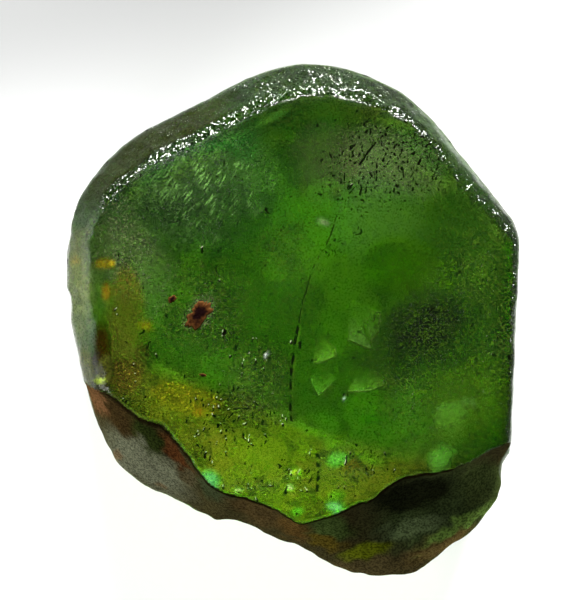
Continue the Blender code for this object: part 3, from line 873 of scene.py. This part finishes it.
def healed_cracks():
    lenses = [veil(*numbers) for numbers in VEILS]
    lenses += [pad(number, *numbers) for number, numbers in enumerate(PADS)]
    corners, faces, shows, colours, start = [], [], [], [], 0
    for sheet, show, colour in lenses:
        lower_skin = sheet[inner] - (0, 0, LENS_THICKNESS)
        corners.append(np.concatenate([sheet.reshape(-1, 3), lower_skin]))
        faces += [skin_faces(grid) + start, skin_faces(under)[:, ::-1] + start]
        shows.append(np.concatenate([show.ravel(), show[inner]]))
        colours.append(np.concatenate([colour.reshape(-1, 3), colour[inner]]))
        start += len(corners[-1])
    mesh = bpy.data.meshes.new("healed_cracks")
    corners = np.concatenate(corners) * MM
    mesh.from_pydata(corners.tolist(), [], np.concatenate(faces).tolist())
    mesh.shade_smooth()
    keep(mesh, "show", np.concatenate(shows))
    keep(mesh, "colour", np.concatenate(colours))
    veils = bpy.data.objects.new("healed_cracks", mesh)
    bpy.context.scene.collection.objects.link(veils)

    material, sheet = new_material("healed_crack")
    ripple = noise(millimetres(sheet), 0.25)
    bump = sheet.node("Bump", None, {"Distance": 0.1 * MM, "Height": ripple})
    body = sheet.node(
        "BsdfPrincipled",
        None,
        {
            "Base Color": kept(sheet, "colour", "Color"),
            "Roughness": 0.35,
            "Alpha": kept(sheet, "show") * (0.7 + 0.3 * ramp_up(ripple, 0.3, 0.6)),
            "Normal": bump,
        },
    )
    sheet.node("OutputMaterial", None, {"Surface": body})
    mesh.materials.append(material)
    return veils


veils = healed_cracks()
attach(veils, "root")


# Rust-brown crusts of iron oxide sit in shallow hollows of the broad face. Each is a low
# ragged mound, dark in its middle and orange at its rim.
BROAD_FACE_HEIGHT = 12.99
CRUST_RINGS, CRUST_SPOKES = 9, 40
CRUST_HEIGHT, CRUST_ROUGHNESS, CRUST_MIDDLE, CRUST_DEPTH = 0.07, 0.03, 0.06, 0.12
RUST_DARK, RUST_BROWN = (0.006, 0.002, 0.002, 1.0), (0.06, 0.022, 0.006, 1.0)
RUST_ORANGE = (0.11, 0.05, 0.014, 1.0)
# A crust's middle, half widths, turn and seed.
CRUSTS = [
    ((-5.5, 0.4), (0.85, 0.52), 52, 3),
    ((-7.05, 1.3), (0.26, 0.18), 20, 8),
    ((-5.3, -3.15), (0.22, 0.1), -10, 5),
]


def rust_crust():
    points, faces, rims, start = [], [], [], 0
    angle = np.linspace(0, 2 * math.pi, CRUST_SPOKES, endpoint=False)
    edge = np.column_stack([np.cos(angle), np.sin(angle), np.zeros(CRUST_SPOKES)])
    for middle, half, turn, seed in CRUSTS:
        ragged = 1 + 0.3 * lumps(edge, 0.7, seed) + 0.22 * lumps(edge, 0.16, seed + 1)
        turn = math.radians(turn)
        rings = []
        for share in np.linspace(0, 1, CRUST_RINGS)[1:]:
            flat = edge * share * ragged[:, None] * (*half, 0)
            x = flat[:, 0] * math.cos(turn) - flat[:, 1] * math.sin(turn) + middle[0]
            y = flat[:, 0] * math.sin(turn) + flat[:, 1] * math.cos(turn) + middle[1]
            at = np.column_stack([x, y, np.zeros(len(x))])
            rough = CRUST_ROUGHNESS * lumps(at, 0.22, seed + 2) * (1 - share**4)
            high = CRUST_HEIGHT * math.sqrt(1 - share**2) + rough
            rings.append((np.column_stack([x, y, high]), np.full(len(x), share)))
        centre = np.array([[*middle, CRUST_MIDDLE]])
        under = np.array([[*middle, -CRUST_DEPTH]])
        points += [centre] + [ring for ring, share in rings] + [under]
        rims += [np.zeros(1)] + [share for ring, share in rings] + [np.ones(1)]
        last = start + 1 + (CRUST_RINGS - 2) * CRUST_SPOKES
        low = last + CRUST_SPOKES
        for spoke in range(CRUST_SPOKES):
            after = (spoke + 1) % CRUST_SPOKES
            faces.append((start, start + 1 + spoke, start + 1 + after))
            faces.append((low, last + after, last + spoke))
            for ring in range(CRUST_RINGS - 2):
                first = start + 1 + ring * CRUST_SPOKES
                second = first + CRUST_SPOKES
                faces.append((first + spoke, second + spoke, second + after, first + after))
        start = low + 1
    points = np.concatenate(points)
    points[:, 2] += BROAD_FACE_HEIGHT
    mesh = bpy.data.meshes.new("rust_crust")
    mesh.from_pydata((points * MM).tolist(), [], faces)
    mesh.shade_smooth()
    keep(mesh, "rim", np.concatenate(rims))
    crust = bpy.data.objects.new("rust_crust", mesh)
    bpy.context.scene.collection.objects.link(crust)

    material, sheet = new_material("iron_rust")
    rim = kept(sheet, "rim")
    crumbs = noise(millimetres(sheet), 0.2, 4.0)
    rust = blend(ramp_up(rim + 0.9 * crumbs, 0.8, 1.4), RUST_DARK, RUST_BROWN)
    rust = blend(ramp_up(rim + 0.5 * crumbs, 1.0, 1.3), rust, RUST_ORANGE)
    bump = sheet.node("Bump", None, {"Distance": 0.06 * MM, "Height": crumbs})
    body = sheet.node(
        "BsdfPrincipled",
        None,
        {"Base Color": rust, "Roughness": 0.7, "Specular IOR Level": 0.0, "Normal": bump},
    )
    sheet.node("OutputMaterial", None, {"Surface": body})
    mesh.materials.append(material)
    return crust


crust = rust_crust()
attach(crust, "root")


# The floor is a plain white sheet of card, with painted shade that makes it greyer towards
# the top of the picture and dark well away from the crystal.
CARD_HALF = 0.6
CARD_WHITE, CARD_SHADE_GREY = (0.78, 0.78, 0.78, 1.0), (0.25, 0.253, 0.25, 1.0)
CARD_FAR_SHADE = (0.08, 0.08, 0.08, 1.0)
CARD_UPWARD = (-340.0, 940.0, 0.0)


def floor_card():
    mesh = bpy.data.meshes.new("floor")
    corners = [(-1, -1, 0), (1, -1, 0), (1, 1, 0), (-1, 1, 0)]
    corners = [tuple(CARD_HALF * value for value in corner) for corner in corners]
    mesh.from_pydata(corners, [], [(0, 1, 2, 3)])
    floor = bpy.data.objects.new("floor", mesh)
    bpy.context.scene.collection.objects.link(floor)
    material, sheet = new_material("white_card")
    metres = sheet.node("TexCoord", output="Object")
    upward = vector("DOT_PRODUCT", metres, CARD_UPWARD).other(1)
    reach = vector("LENGTH", metres, (0.0, 0.0, 0.0)).other(1) / MM
    grey = blend(ramp_up(upward, 2.0, 24.0), CARD_WHITE, CARD_SHADE_GREY)
    grey = blend(ramp_up(reach, 26.0, 50.0), grey, CARD_FAR_SHADE)
    card = sheet.node("BsdfPrincipled", None, {"Base Color": grey, "Roughness": 0.9})
    sheet.node("OutputMaterial", None, {"Surface": card})
    mesh.materials.append(material)
    return floor


card = floor_card()


# Soft boxes light it as on a small studio table. The key is behind the top of the crystal
# and makes its worn rim glitter, one fills in its left side, and one is for the card.
def soft_box(name, place, size, power):
    light = bpy.data.lights.new(name, "AREA")
    light.shape = "RECTANGLE"
    light.size, light.size_y = size
    light.energy = power
    lamp = bpy.data.objects.new(name, light)
    bpy.context.scene.collection.objects.link(lamp)
    lamp.location = place
    lamp.rotation_euler = (-Vector(place)).to_track_quat("-Z", "Y").to_euler()
    return lamp


soft_box("key", (0.05, 0.40, 0.26), (0.24, 0.16), 7.7)
card_fill = soft_box("card_fill", (-0.05, -0.45, 0.35), (0.6, 0.4), 6.0)
only_card = bpy.data.collections.new("only_card")
only_card.objects.link(card)
card_fill.light_linking.receiver_collection = only_card
soft_box("left_fill", (-0.45, -0.05, 0.25), (0.3, 0.3), 1.5)

# The room around is dim, and darkest overhead.
ROOM_LIGHT = 0.9
ROOM_GREYS = ((0.0, 0.2), (0.3, 0.08), (0.8, 0.006))
world = bpy.data.worlds.new("studio")
bpy.context.scene.world = world
world.use_nodes = True
world.node_tree.nodes.clear()
air = Shade(world.node_tree)
way = air.node("TexCoord", output="Generated")
height = air.node("SeparateXYZ", None, {0: way}, output=2)
stops = tuple((place, (grey, grey, grey, 1)) for place, grey in ROOM_GREYS)
sky = air.node("ValToRGB", {"stops": stops}, {0: height})
glow = air.node("Background", None, {"Color": sky, "Strength": ROOM_LIGHT})
air.node("OutputWorld", None, {"Surface": glow})

# The camera looks straight down on the crystal's broad face, from half a metre above.
CAMERA_X, CAMERA_Y, CAMERA_HEIGHT = -0.67 * MM, 1.23 * MM, 0.5
FOCUS_HEIGHT, FRAME_HEIGHT = 0.011, 0.03516
SENSOR_WIDTH, NEAREST = 36.0, 0.01
camera = bpy.data.cameras.new("camera")
camera.sensor_width = SENSOR_WIDTH
camera.lens = SENSOR_WIDTH * (CAMERA_HEIGHT - FOCUS_HEIGHT) / FRAME_HEIGHT
camera.clip_start = NEAREST
eye = bpy.data.objects.new("camera", camera)
bpy.context.scene.collection.objects.link(eye)
eye.location = (CAMERA_X, CAMERA_Y, CAMERA_HEIGHT)
bpy.context.scene.camera = eye

# Light has to pass many faces to get through the clear stone.
scene = bpy.context.scene
scene.view_settings.view_transform = "Standard"
scene.cycles.max_bounces = 16
scene.cycles.transmission_bounces = 14
scene.cycles.glossy_bounces = 8
scene.cycles.diffuse_bounces = 3
